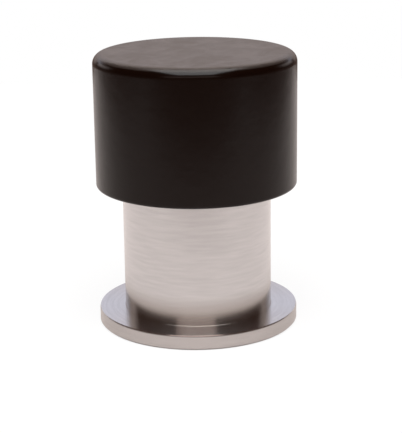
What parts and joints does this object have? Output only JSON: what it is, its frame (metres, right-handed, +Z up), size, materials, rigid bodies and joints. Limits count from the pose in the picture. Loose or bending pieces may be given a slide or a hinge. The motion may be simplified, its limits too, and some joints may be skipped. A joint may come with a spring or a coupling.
{
  "type": "cylindrical door stop",
  "caption": "Floor-mounted door stop: a brushed steel post on a round flange, with a thick black rubber cap that takes the knock of the door.",
  "frame": {"origin": "middle of the flange's underside, on the floor", "axes": "+Z up along the post's axis, towards the cap; X and Y are free, because the stop is round"},
  "size_m": [0.04, 0.04, 0.0545],
  "materials": {
    "steel": "satin stainless steel, brushed round the post",
    "rubber": "moulded black rubber, matt"
  },
  "bodies": {
    "root": {"flanged_post": "steel", "rubber_cap": "rubber"}
  },
  "joints": []
}
